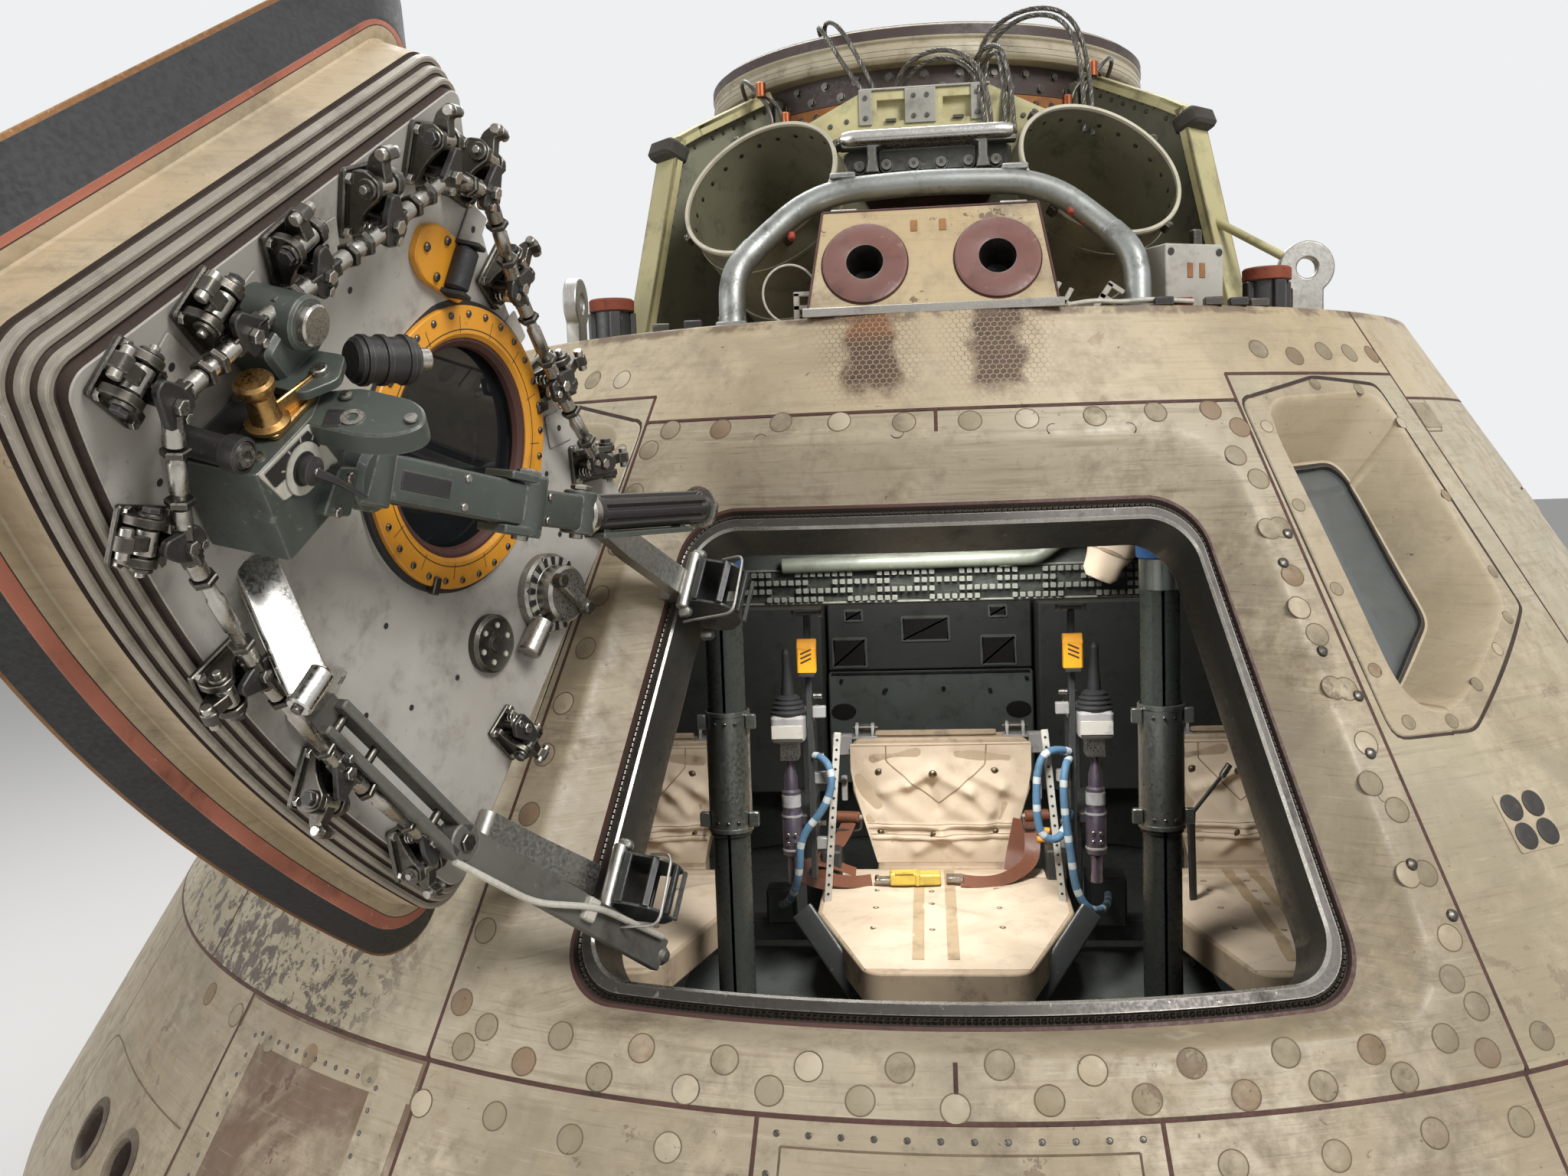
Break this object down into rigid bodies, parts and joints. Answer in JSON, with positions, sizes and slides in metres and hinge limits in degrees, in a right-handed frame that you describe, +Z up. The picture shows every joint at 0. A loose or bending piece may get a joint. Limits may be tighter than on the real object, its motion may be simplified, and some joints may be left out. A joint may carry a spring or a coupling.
{
  "type": "three-seat space capsule",
  "caption": "Conical three-seat space capsule with a round blunt heat shield, forward tunnel, deck gear and side hatch swung open.",
  "frame": {"origin": "on the capsule's axis at the lowest point of its heat shield, where it stands on the floor", "axes": "+Z up along the capsule's axis, -Y out of the side hatch"},
  "size_m": [3.9115, 4.2033, 2.7],
  "materials": {
    "amber_flange": "satin",
    "bare_substrate": "bare, matt brown",
    "brown_primer": "primer",
    "cabin_grey": "satin",
    "charred_shield": "charred, matt",
    "chromate_paint": "primer",
    "couch_fabric": "woven",
    "dark_frame": "satin",
    "dark_steel": "oiled, dark",
    "grey_green_paint": "satin",
    "grey_paint": "satin",
    "nozzle_ablator": "matt",
    "olive_metal": "dull",
    "strut_tube": "anodised, dark",
    "weathered_ablator": "weathered, satin",
    "window_glass": "clear",
    "worn_aluminium": "worn"
  },
  "bodies": {
    "hull": {"aft_heat_shield": "charred_shield", "arm_rests": "dark_frame", "cabin_floor": "cabin_grey", "couch_centre": "couch_fabric", "couch_frame": "dark_frame", "couches_side": "couch_fabric", "deck_box": "grey_paint", "deck_channel": "chromate_paint", "deck_front": "weathered_ablator", "deck_left": "weathered_ablator", "deck_rear": "weathered_ablator", "deck_right": "weathered_ablator", "display_console": "cabin_grey", "duct": "cabin_grey", "equipment_bay": "cabin_grey", "forward_hatch": "brown_primer", "grab_rail": "worn_aluminium", "gussets": "chromate_paint", "hatch_frame": "weathered_ablator", "hinge_pins": "dark_steel", "leg_sockets": "dark_steel", "lifting_eyes": "worn_aluminium", "loop_bracket": "worn_aluminium", "lower_panel_centre": "weathered_ablator", "lower_panel_left": "weathered_ablator", "lower_panel_left_bare": "bare_substrate", "lower_panel_left_inner": "weathered_ablator", "lower_panel_rear_left": "weathered_ablator", "lower_panel_rear_right": "weathered_ablator", "lower_panel_right": "weathered_ablator", "lower_panel_right_inner": "weathered_ablator", "mortars": "olive_metal", "rear_wall_left": "weathered_ablator", "rear_wall_right": "weathered_ablator", "side_wall_left": "weathered_ablator", "side_wall_right": "weathered_ablator", "struts": "strut_tube", "thruster_nozzles": "nozzle_ablator", "thruster_panel": "weathered_ablator", "top_ring": "worn_aluminium", "tunnel": "brown_primer", "window_panes": "window_glass", "window_wall_left": "weathered_ablator", "window_wall_right": "weathered_ablator"},
    "hatch": {"hatch_gearbox": "grey_green_paint", "hatch_glass": "window_glass", "hatch_latches": "dark_steel", "hatch_panel": "grey_paint", "hatch_rods": "dark_steel", "hatch_shield": "weathered_ablator", "hatch_window_ring": "amber_flange", "hinge_arms": "worn_aluminium", "pressure_valve": "grey_green_paint", "pump_handle": "grey_green_paint", "stay_bar": "worn_aluminium", "vee_bracket": "worn_aluminium", "window_bracket": "amber_flange"}
  },
  "joints": [
    {"name": "side_hatch", "type": "hinge", "parent": "hull", "child": "hatch", "pos_m": [-0.61561, -1.32017, 1.30821], "axis": [0.2302, 0.4936, 0.8387], "range_deg": [0, 99]}
  ]
}
